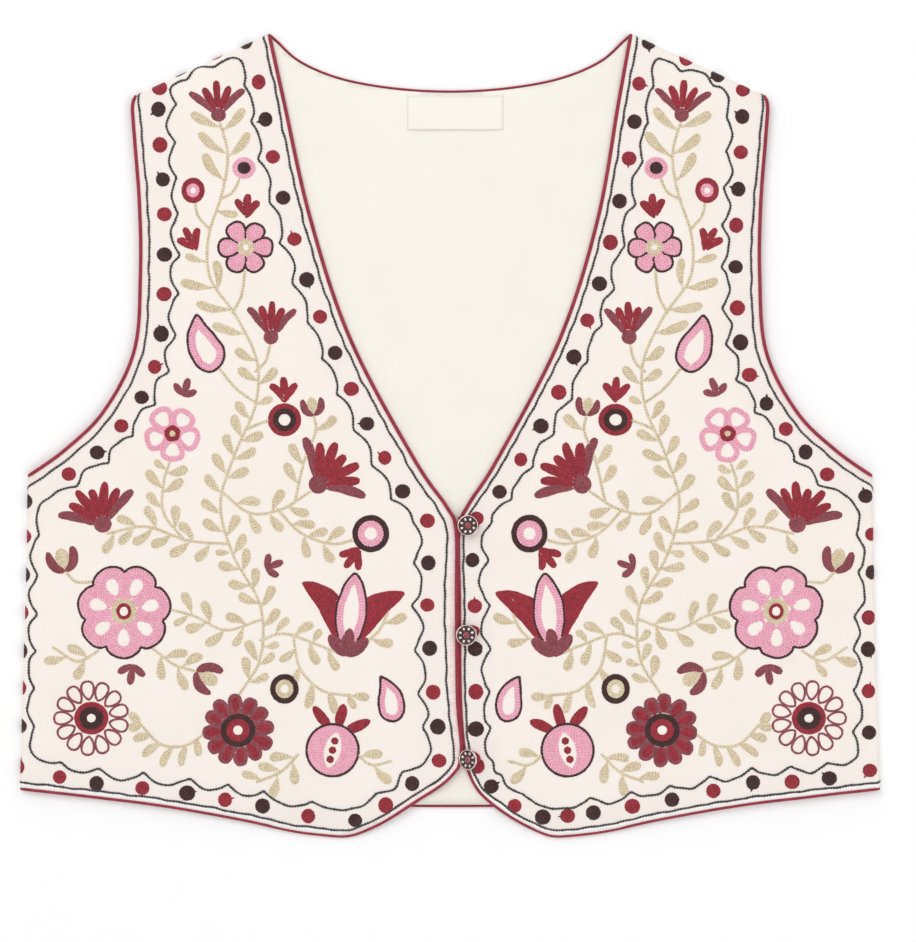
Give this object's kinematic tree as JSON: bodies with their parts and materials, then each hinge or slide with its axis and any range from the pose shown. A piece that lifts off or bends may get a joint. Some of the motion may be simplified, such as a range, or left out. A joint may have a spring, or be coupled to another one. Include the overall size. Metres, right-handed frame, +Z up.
{
  "type": "waistcoat",
  "caption": "Short sleeveless waistcoat with a deep V neck and pointed hem, piped edges, shank buttons and fabric loops, laid flat on its back.",
  "frame": {"origin": "on the surface it lies on, under the middle of the outline's box", "axes": "+Z up out of the front's face, +Y towards the collar, +X towards the wearer's left side"},
  "size_m": [0.5, 0.4686, 0.0149],
  "materials": {
    "cream_cotton": "plain weave off-white cotton, matt",
    "ivory_lining": "fine plain ivory cotton lining, matt",
    "crimson_piping": "crimson bias-cut cotton piping, slight sheen",
    "label_tape": "blank woven tape, soft satin sheen",
    "button_metal": "rose-silver plated rim, polished, slightly worn",
    "button_enamel": "dark aubergine enamel, glossy",
    "embroidery_thread": "stranded embroidery thread in chain stitch, in several colours, soft sheen"
  },
  "bodies": {
    "root": {"back_panel": "cream_cotton", "back_lining": "ivory_lining", "front_right": "cream_cotton", "front_left": "cream_cotton", "front_piping_right": "crimson_piping", "front_piping_left": "crimson_piping", "armhole_piping_right": "crimson_piping", "armhole_piping_left": "crimson_piping", "back_neck_piping": "crimson_piping", "back_hem_piping": "crimson_piping", "button_top": "button_metal", "button_middle": "button_metal", "button_bottom": "button_metal", "loop_top": "crimson_piping", "loop_middle": "crimson_piping", "loop_bottom": "crimson_piping", "neck_label": "label_tape"}
  },
  "joints": []
}
